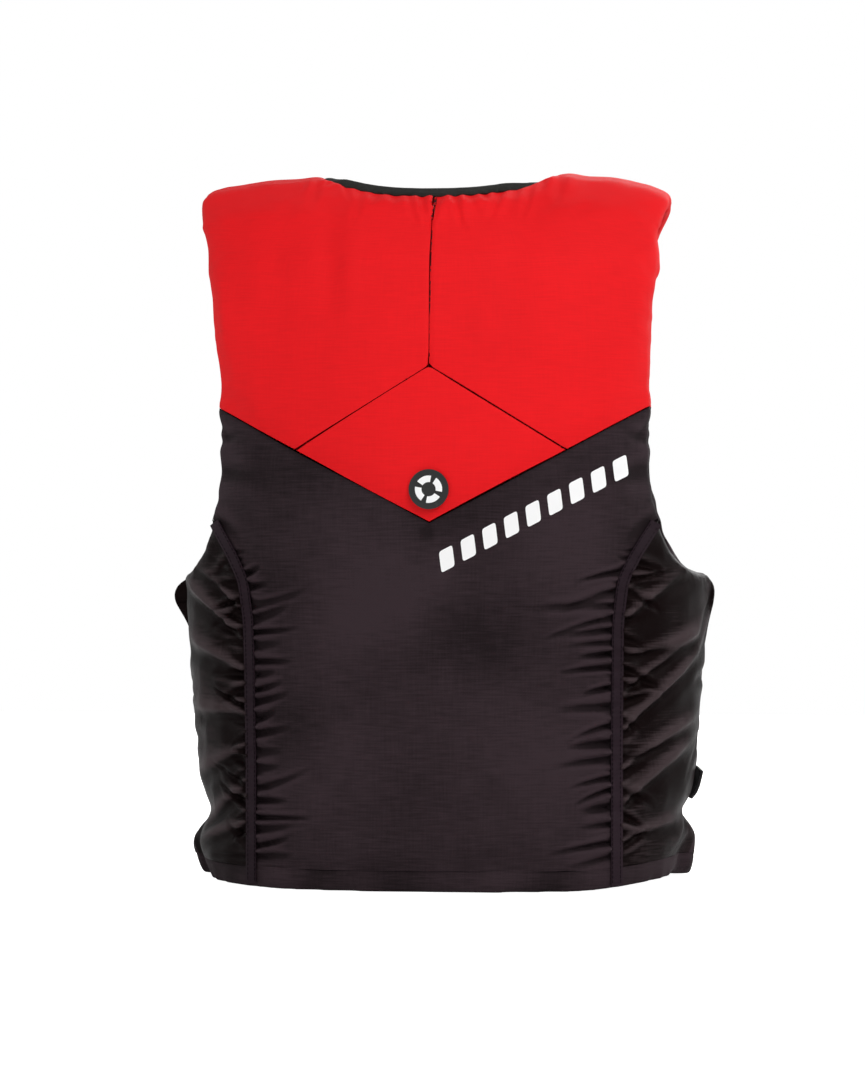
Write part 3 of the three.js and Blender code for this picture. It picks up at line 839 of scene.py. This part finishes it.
def ranged(tree, value, low, high, fromLow=0.0, fromHigh=1.0):
    limits = {"From Min": fromLow, "From Max": fromHigh, "To Min": low, "To Max": high}
    return addNode(tree, "MapRange", {"Value": value, **limits})[0]


def newFinish(name):
    finish = bpy.data.materials.new(name)
    finish.use_nodes = True
    tree = finish.node_tree
    place = addNode(tree, "TexCoord", {})["Object"]
    return finish, tree, tree.nodes["Principled BSDF"], place


def dressed(tree, shader, inputs, height, bump, depth):
    # Gives the shader its inputs, and a fine relief of the given depth in millimetres.
    relief = addNode(tree, "Bump", {"Strength": bump, "Distance": depth * mm, "Height": height})
    for label, value in {**inputs, "Normal": relief["Normal"]}.items():
        wire(tree, shader.inputs[label], value)


def fabric(name, colour, dark, roughness=0.6, ior=1.2, threads=1500.0, slub=0.4, bump=0.25, depth=0.25,
           crumple=0.0, tint=(1, 0.85, 0.88), paintedFoldShade=0.0, paintedShadeShift=0.0):
    finish, tree, shader, place = newFinish(name)
    cloth = addNode(tree, "Attribute", {}, attribute_name="clothMap")["Vector"]
    weave = addNode(tree, "Group", {"Along cloth": cloth, "Threads": threads, "Slub": slub},
                    node_tree=plainWeave)
    wear = addNode(tree, "Group", {"Place": place}, node_tree=handledTone)
    toneAndShade = calc(tree, "ADD", calc(tree, "MULTIPLY", wear["Tone"], 0.6),
                calc(tree, "MULTIPLY", weave["Shade"], 0.6))
    # Painted shade and painted highlight: the fold attribute darkens the colour in the grooves and lightens
    # it on the ridges, and the shift moves it towards darker overall.
    if paintedFoldShade:
        foldShadeValue = addNode(tree, "Attribute", {}, attribute_name="foldShadeAndSheen")["Fac"]
        raised = calc(tree, "SUBTRACT", foldShadeValue, 0.5 + paintedShadeShift)
        toneAndShade = calc(tree, "ADD", toneAndShade, calc(tree, "MULTIPLY", raised, paintedFoldShade))
    base = mixedColour(tree, ranged(tree, toneAndShade, 0, 1, 0.42, 0.74), dark, colour)
    lint = tuple(c * 0.75 + 0.03 for c in colour)
    base = mixedColour(tree, calc(tree, "MULTIPLY", wear["Speck"], 0.35), base, lint)
    rough = ranged(tree, weave["Shade"], roughness - 0.06, roughness + 0.08)
    height = weave["Height"]
    if crumple:
        ripple = noise(tree, stretched(tree, cloth, (38, 95, 1)), 1, 3, 0.55)
        height = calc(tree, "ADD", height, calc(tree, "MULTIPLY", ripple, crumple))
    dressed(tree, shader, {"IOR": ior, "Specular Tint": (*tint, 1), "Base Color": base,
                           "Roughness": rough}, height, bump, depth)
    return finish


def moulded(name, colour, worn, roughness=0.4, metallic=0.0, grain=260.0, bump=0.12, specular=0.4):
    finish, tree, shader, place = newFinish(name)
    wear = addNode(tree, "Group", {"Place": place, "Patch size": 70.0}, node_tree=handledTone)
    edge = addNode(tree, "NewGeometry", {})["Pointiness"]
    rubbed = calc(tree, "MULTIPLY", ranged(tree, edge, 0, 1, 0.51, 0.58), wear["Tone"])
    base = mixedColour(tree, rubbed, colour, worn)
    rough = ranged(tree, wear["Tone"], roughness - 0.08, roughness + 0.1)
    dressed(tree, shader, {"Metallic": metallic, "Specular IOR Level": specular, "Base Color": base,
                           "Roughness": rough}, noise(tree, place, grain * 10, 3), bump, 0.2)
    return finish


finishes = {
    "red_nylon": fabric("redNylon", (0.79, 0.0095, 0.0130), (0.68, 0.0078, 0.0108), roughness=0.62,
                        ior=1.18, threads=1700, crumple=0.7),
    # Black nylon: painted shade in the grooves of its gathers, from the fold attribute.
    "black_nylon": fabric("blackNylon", (0.0345, 0.0225, 0.0270), (0.0125, 0.0082, 0.0096), roughness=0.62,
                          ior=1.16, threads=900, slub=0.9, bump=0.5, crumple=0.7, paintedFoldShade=1.1),
    # Satin nylon: a wide range from near black to grey, so the fold attribute paints dark valleys as shade
    # and light ridges as sheen.
    "satin_nylon": fabric("satinNylon", (0.0440, 0.0310, 0.0335), (0.0040, 0.0020, 0.0020), roughness=0.3,
                          ior=1.11, threads=2000, slub=0.3, bump=0.3, crumple=1.6, tint=(1, 0.74, 0.76),
                          paintedFoldShade=0.8, paintedShadeShift=0.28),
    "lining_mesh": fabric("liningMesh", (0.020, 0.019, 0.020), (0.007, 0.007, 0.0075), roughness=0.8,
                          ior=1.2, threads=520, slub=0.3, bump=0.9, depth=0.5),
    "seam_tape": fabric("seamTape", (0.0215, 0.0120, 0.0175), (0.0125, 0.0068, 0.0100), roughness=0.6,
                        ior=1.18, threads=1150, slub=0.5, bump=0.6, depth=0.3),
    "neck_trim": fabric("neckTrim", (0.031, 0.032, 0.029), (0.014, 0.015, 0.014), roughness=0.75,
                        ior=1.2, threads=1000, slub=0.4, bump=0.8, depth=0.35),
    "webbing": fabric("webbing", (0.016, 0.0150, 0.016), (0.006, 0.006, 0.006), roughness=0.55,
                      ior=1.3, threads=620, slub=0.5, bump=1.0, depth=0.6),
    "thread": fabric("thread", (0.0045, 0.0025, 0.0035), (0.003, 0.002, 0.0025), roughness=0.7,
                     ior=1.15, threads=3000, slub=0.5, bump=0.5),
    "badge_rubber": moulded("badgeRubber", (0.012, 0.012, 0.012), (0.03, 0.03, 0.03), 0.55),
    "white_print": moulded("whitePrint", (0.86, 0.86, 0.86), (0.9, 0.9, 0.9), 0.5, bump=0.3, grain=120),
    "black_plastic": moulded("blackPlastic", (0.009, 0.009, 0.0095), (0.035, 0.035, 0.036), 0.38),
    "zip_metal": moulded("zipMetal", (0.19, 0.19, 0.20), (0.55, 0.55, 0.56), 0.32, metallic=1.0),
}
print("finishes mixed")


def mapCloth(obj):
    # Writes how far along the cloth each point is, for the weave to follow.
    co = pointsOf(obj)
    arc = around(co) * np.sign(co[:, 0])
    plan = 0.134 * (1 - np.clip(np.abs(co[:, 0]) / 0.212, 0, 1) ** 2.6) ** (1 / 2.6)
    high = co[:, 2] + 0.8 * np.clip(plan - np.abs(co[:, 1] - seamY), 0, None) * (co[:, 2] > 0.42)
    cloth = obj.data.attributes.new("clothMap", "FLOAT_VECTOR", "POINT")
    cloth.data.foreach_set("vector", np.stack([arc, high, 0 * arc], 1).astype(np.float32).ravel())


def finishPiece(obj, name, slot, body, *nodes, blends=False, fill=None, finish=None):
    obj.name = obj.data.name = name
    obj.data.materials.clear()
    obj.data.materials.append(finishes[finish or slot])
    mapCloth(obj)
    if blends:
        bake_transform(obj)
    else:
        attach(obj, body)
    if nodes:
        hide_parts(*nodes)
    return obj


# The lining: the inner faces of the stuffed pieces with fewer points, as a sheet of its own
lining = {"thickness": 0.7, "evening": 8, "kept": 0.03}


def evenOutwardness(obj, rounds):
    # Outwardness of each face, averaged with its neighbours, so that an edge cut by it runs smoothly.
    value = outwardness(pointsOf(obj), normalsOf(obj))
    ends = np.zeros(len(obj.data.edges) * 2, np.int32)
    obj.data.edges.foreach_get("vertices", ends)
    first, second = ends.reshape(-1, 2).T
    size = len(value)
    count = 1 + np.bincount(first, minlength=size) + np.bincount(second, minlength=size)
    for _ in range(rounds):
        value = value + np.bincount(first, value[second], size) + np.bincount(second, value[first], size)
        value /= count
    corners = np.zeros(len(obj.data.loops), np.int32)
    obj.data.loops.foreach_get("vertex_index", corners)
    starts = np.zeros(len(obj.data.polygons), np.int32)
    obj.data.polygons.foreach_get("loop_start", starts)
    return np.add.reduceat(value[corners], starts) / np.diff(np.append(starts, len(corners)))


def makeLining(name, padNames, values):
    copies = []
    for padName in padNames:
        copy = duplicate(pads[padName], name)
        centres, normals = facesOf(copy)
        atArm = np.abs(centres[:, 0]) > 120 * mm
        evenedOut = evenOutwardness(copy, values["evening"]) - values["kept"]
        value = np.where(atArm, evenedOut, outwardness(centres, normals))
        editFaces(copy, value > -0.75, lambda: bpy.ops.mesh.delete(type="FACE"))
        copies.append(copy)
    sheet = modified(merged(joined(name, copies), 2e-5), "DECIMATE", ratio=0.3)
    return smoothed(thickened(sheet, values["thickness"]), 60)


backLining = makeLining("liningBack", ["backYokeRight", "backYokeLeft", "backKite", "backLower", "sideRight",
                                       "sideLeft"], lining)
finishPiece(backLining, "liningBack", "lining_mesh", "back", "back_lining")
for hand, low, _ in hands:
    sheet = makeLining("liningFront" + hand, ["frontYoke" + hand, "frontPanel" + hand], lining)
    finishPiece(sheet, "liningFront" + hand, "lining_mesh", "front_" + low, "front_lining_" + low,
                blends=True)
print("lining sewn in")

padFill = {"back": 0.75, "side": 0.6, "front": 0.7}


def finishPad(name, finish, body, *nodes, fill=None):
    finishPiece(pads[name], name, finish, body, *nodes, blends=body != "back", fill=fill)


finishPad("backKite", "red_nylon", "back", "back_kite_panel", fill=padFill["back"])
finishPad("backLower", "black_nylon", "back", "back_lower_panel", "back_foam_lower", fill=padFill["back"])
finishPad("hemBack", "black_nylon", "back", "back_hem_band")
for hand, low, _ in hands:
    extra = ["back_foam_upper"] if hand == "Right" else []
    finishPad("backYoke" + hand, "red_nylon", "back", "back_yoke_" + low, "armhole_gusset_back_" + low,
              *extra, fill=padFill["back"])
    finishPad("side" + hand, "satin_nylon", "back", "side_panel_" + low, "side_foam_" + low,
              fill=padFill["side"])
    front = "front_" + low
    finishPad("frontYoke" + hand, "red_nylon", front, "front_yoke_" + low, "armhole_gusset_front_" + low,
              fill=padFill["front"])
    finishPad("frontPanel" + hand, "black_nylon", front, "front_panel_" + low, "front_foam_" + low,
              fill=padFill["front"])
    finishPad("hemFront" + hand, "black_nylon", front, "front_hem_band_" + low)
    finishPiece(pieces["tape" + hand], "tape" + hand, "seam_tape", "back", "princess_tape_" + low)
    for row in ("tapeStitches", "kiteStitches"):
        finishPiece(pieces[row + hand], row + hand, "seam_tape", "back", finish="thread")
finishPiece(pieces["centreStitches"], "centreStitches", "seam_tape", "back", finish="thread")
for pad in pads.values():
    smoothed(pad)


# Binding round the neck
binding = {"voxel": 1.5, "swell": 1.0}


def makeBinding(name, node):
    roll = remeshed(copyOfNodes(name, node), binding["voxel"] * mm)
    evened(roll, 4)
    co, normals = pointsOf(roll), normalsOf(roll)
    keep = eased(1.5, 4, np.abs(co[:, 1] - seamY) / mm)[:, None]
    co += normals * binding["swell"] * mm * keep
    x = co[:, 0] / mm
    drop = 5.0 * eased(50, 80, x) + 2.2 * eased(66, 88, -x) - 2.8 * np.clip(1 - (x / 70) ** 2, 0, 1)
    co[:, 2] -= drop * mm * eased(515, 535, co[:, 2] / mm)
    movePoints(roll, co)
    return smoothed(roll, 60)


for ending in ("Back", "FrontRight", "FrontLeft"):
    name, node = "binding" + ending, "neck_binding_" + ending.replace("Front", "Front_").lower()
    body = node.replace("neck_binding_", "")
    finishPiece(makeBinding(name, node), name, "neck_trim", body, node, blends=body != "back")
print("neck bound")


# Round rubber badge with a lifebuoy on it
badge = {"radius": 15.2, "thickness": 2.0, "rim": 1.6, "step": 0.5, "height": 307,
         "ringOut": 10.4, "ringIn": 5.4, "ringRise": 0.45, "bands": 4, "bandFrom": 33}


def addCylinder(radius, depth, at, vertices=64):
    disc = added(bpy.ops.mesh.primitive_cylinder_add, vertices=vertices, radius=radius, depth=depth,
                 location=at, rotation=(math.radians(90), 0, 0))
    bpy.ops.object.transform_apply(location=True, rotation=True, scale=True)
    return disc


def makeBadge(values):
    behind, _ = outerPoint(0, values["height"])
    face = behind.y - values["thickness"] * mm
    at = Vector((0, behind.y - values["thickness"] * mm / 2, values["height"] * mm))
    patch = addCylinder(values["radius"] * mm, values["thickness"] * mm, at)
    centres, normals = facesOf(patch)
    editFaces(patch, (normals[:, 1] < -0.9) & (centres[:, 1] < face + 1e-5), inset(values["rim"]),
              lambda: bpy.ops.transform.translate(value=(0, values["step"] * mm, 0)),
              inset(values["radius"] - values["rim"] - values["ringOut"]),
              inset(values["ringOut"] - values["ringIn"]))
    centres, normals = facesOf(patch)
    fromCentre = np.hypot(centres[:, 0], centres[:, 2] - values["height"] * mm) / mm
    ring = (normals[:, 1] < -0.9) & (fromCentre > values["ringIn"]) & (fromCentre < values["ringOut"])
    angle = np.degrees(np.arctan2(centres[:, 2] - values["height"] * mm, centres[:, 0]))
    quarter = 360 / values["bands"]
    band = np.abs((angle + 360 + quarter / 4) % quarter - quarter / 2) > values["bandFrom"]
    ring &= ~band
    editFaces(patch, ring, extruded(0, -values["ringRise"] * mm, 0))
    centres, normals = facesOf(patch)
    fromCentre = np.hypot(centres[:, 0], centres[:, 2] - values["height"] * mm) / mm
    white = (centres[:, 1] < face + 0.2 * mm) & (fromCentre > values["ringIn"])
    return patch, white & (fromCentre < values["ringOut"])


badgePatch, whiteFaces = makeBadge(badge)
finishPiece(badgePatch, "badgePatch", "badge_rubber", "back", "back_badge")
badgePatch.data.materials.append(finishes["white_print"])
badgePatch.data.polygons.foreach_set("material_index", whiteFaces.astype(np.int32))
bevelled(badgePatch, 0.18 * mm, 2, 40)
smoothed(badgePatch, 40)

# Row of plain slanted dashes printed beside the yoke's edge
dashes = {"count": 9, "length": 11.5, "height": 15, "slant": 0.38, "reach": 165, "centreX": 79,
          "below": 35, "lift": 0.12, "thickness": 0.22}


def makeDashes(values):
    rise = math.atan(yokeSlope)
    along = Vector((math.cos(rise), math.sin(rise)))
    up = Vector((-along.y, along.x))
    centre = Vector((values["centreX"], yokeEdge(values["centreX"]) - values["below"]))
    pitch = (values["reach"] - values["length"] - values["height"] * values["slant"]) / (values["count"] - 1)
    made = []
    for number in range(values["count"]):
        dash = added(bpy.ops.mesh.primitive_grid_add, x_subdivisions=10, y_subdivisions=12, size=1)
        co = pointsOf(dash)
        start = (number - (values["count"] - 1) / 2) * pitch
        placedPoints = []
        for u, v, _ in co:
            square = (abs(2 * u) ** 8 + abs(2 * v) ** 8) ** (1 / 8)
            inner = max(abs(2 * u), abs(2 * v))
            shrink = inner / square if square > 0 else 1
            u, v = u * shrink, v * shrink
            flat = centre + along * (start + u * values["length"] + v * values["height"] * values["slant"])
            flat = flat + up * v * values["height"]
            hit, normal = outerPoint(flat.x, flat.y)
            placedPoints.append(hit + normal * values["lift"] * mm)
        movePoints(dash, placedPoints)
        made.append(thickened(turnedOut(dash), values["thickness"]))
    return smoothed(joined("printDashes", made), 50)


finishPiece(makeDashes(dashes), "printDashes", "white_print", "back", "back_print")
print("badge and print on")


# Belt webbing, moved with the vest as it hangs, with its edges rounded
def makeWebbing(name, node):
    strap = copyOfNodes(name, node)
    for _ in range(2):
        editAll(strap, subdivide)
    co = settled(pointsOf(strap))
    if name == "beltRight":
        slack = eased(186, 210, co[:, 0] / mm)[:, None]  # the belt stands off a little at the side
        co += slack * np.array([5.5, 0, -7]) * mm
    movePoints(strap, co)
    bevelled(strap, 0.35 * mm, 2, 50)
    return smoothed(strap, 40)


for ending in ("Right", "Left", "Tail", "Keeper"):
    name, node = "belt" + ending, "belt_" + ending.lower()
    body = "front_right" if ending == "Right" else "front_left"
    finishPiece(makeWebbing(name, node), name, "webbing", body, node, blends=ending in ("Right", "Left"))


# Zip
zipper = {"pitch": 2.5, "toothHeight": 1.15, "toothDepth": 2.1, "toothLength": 3.1, "overlap": 0.25,
          "inset": 0.2, "nib": 0.25, "round": 0.16, "foot": 0.9, "head": 0.6, "leftOffset": 0.95}


def makeTeeth(name, node, side, offset):
    low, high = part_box(node)
    centreY = (low.y + high.y) / 2
    tooth = added(bpy.ops.mesh.primitive_cube_add, size=1)
    size = [zipper[key] * mm for key in ("toothLength", "toothDepth", "toothHeight")]
    tooth.data.transform(Matrix.Diagonal((*size, 1)))
    _, facing = facesOf(tooth)
    editFaces(tooth, facing[:, 0] * side < -0.9, inset(zipper["inset"]),
              extruded(-side * zipper["nib"] * mm, 0, 0))
    bevelled(tooth, zipper["round"] * mm, 1, 40)
    made = []
    z = low.z + (zipper["foot"] + offset) * mm
    while z < high.z - zipper["head"] * mm:
        copy = duplicate(tooth, name)
        x = side * (zipper["toothLength"] / 2 - zipper["overlap"]) * mm
        copy.data.transform(Matrix.Translation((x, centreY, z)))
        made.append(copy)
        z += zipper["pitch"] * mm
    bpy.data.objects.remove(tooth)
    return smoothed(joined(name, made), 50)


for hand, low, side in hands:
    node = "zip_chain_" + low
    teeth = makeTeeth("teeth" + hand, node, side, 0 if side == 1 else zipper["leftOffset"])
    finishPiece(teeth, "teeth" + hand, "black_plastic", "front_" + low, node)
for hand, low, side in hands:
    strip = makeWebbing("zipTape" + hand, "zip_tape_" + low)
    co = pointsOf(strip)
    reach = np.abs(co[:, 0]) / mm
    inner = 1 - eased(reach.min() + 0.5, reach.min() + 2, reach)  # the tape runs in behind the teeth
    co[:, 0] += side * mm * (1.6 * eased(9, 11.5, reach) - (reach.min() - 0.35) * inner)
    movePoints(strip, co)
    finishPiece(strip, "zipTape" + hand, "seam_tape", "front_" + low, "zip_tape_" + low)
print("zip and belts on")


# Hard parts keep their shape, with their edges rounded
hardParts = {
    "zip_slider": ("zipSlider", "zip_metal", "zip_slider", 0.35),
    "zip_pull": ("zipPull", "zip_metal", "zip_pull", 0.25),
    "zip_box": ("zipBox", "black_plastic", "front_right", 0.3),
    "zip_insertion_pin": ("zipPin", "black_plastic", "front_left", 0.25),
    "zip_top_stop_right": ("zipStopRight", "zip_metal", "front_right", 0.25),
    "zip_top_stop_left": ("zipStopLeft", "zip_metal", "front_left", 0.25),
    "buckle_female": ("buckleFemale", "black_plastic", "front_right", 0.8),
    "buckle_male": ("buckleMale", "black_plastic", "front_right", 0.5),
    "latch_arm_upper": ("latchArmUpper", "black_plastic", "latch_arm_upper", 0.45),
    "latch_arm_lower": ("latchArmLower", "black_plastic", "latch_arm_lower", 0.45),
    "belt_glide_right": ("glideRight", "black_plastic", "belt_glide_right", 0.5),
    "belt_glide_left": ("glideLeft", "black_plastic", "belt_glide_left", 0.5),
}
for node, (name, slot, rider, round_) in hardParts.items():
    part = smoothed(bevelled(copyOfNodes(name, node), round_ * mm, 3), 40)
    finishPiece(part, name, slot, rider, node)
bpy.data.objects.remove(stitchShape)
print("hard parts rounded")


# Floor, light and surroundings
stage = {
    "floorSize": 5,
    "floorGlow": 1.0,  # seen by the camera only
    "surround": 0.42,
    "key": {"at": (1.3, -2.0, 2.2), "size": 1.3, "power": 50},
    "fill": {"at": (-1.7, -2.0, 0.9), "size": 1.6, "power": 10},
    "leftRim": {"at": (-1.6, 0.5, 0.7), "size": 0.6, "power": 3},
    "rightRim": {"at": (1.6, 0.5, 0.7), "size": 0.6, "power": 6},
    "chest": {"at": (0.6, 2.4, 1.6), "size": 1.6, "power": 26},
}


def addStage(values):
    floor = added(bpy.ops.mesh.primitive_plane_add, size=values["floorSize"], location=(0, 0, -0.0005))
    bpy.ops.object.transform_apply(location=True)
    floor.name = "floor"
    finish, tree, shader, place = newFinish("paleFloor")
    base = mixedColour(tree, noise(tree, place, 3), (0.88, 0.88, 0.88), (0.93, 0.93, 0.93))
    direct = addNode(tree, "LightPath", {})["Is Camera Ray"]
    glow = ranged(tree, direct, 0, values["floorGlow"])
    for label, value in {"Base Color": base, "Roughness": 0.9, "Specular IOR Level": 0.1,
                         "Emission Color": (1, 1, 1, 1), "Emission Strength": glow}.items():
        wire(tree, shader.inputs[label], value)
    floor.data.materials.append(finish)
    world = bpy.data.worlds.new("studio")
    scene.world = world
    world.use_nodes = True
    tree = world.node_tree
    back = tree.nodes["Background"]
    back.inputs["Color"].default_value = (1, 1, 1, 1)
    seen = addNode(tree, "LightPath", {})["Is Camera Ray"]
    tree.links.new(ranged(tree, seen, values["surround"], 1.0), back.inputs["Strength"])
    for name in ("key", "fill", "leftRim", "rightRim", "chest"):
        lamp = bpy.data.lights.new(name, "AREA")
        lamp.energy, lamp.size = values[name]["power"], values[name]["size"]
        light = bpy.data.objects.new(name, lamp)
        scene.collection.objects.link(light)
        light.location = values[name]["at"]
        light.rotation_euler = (Vector((0, 0, 0.3)) - light.location).to_track_quat("-Z", "Y").to_euler()


addStage(stage)
print("stage lit")
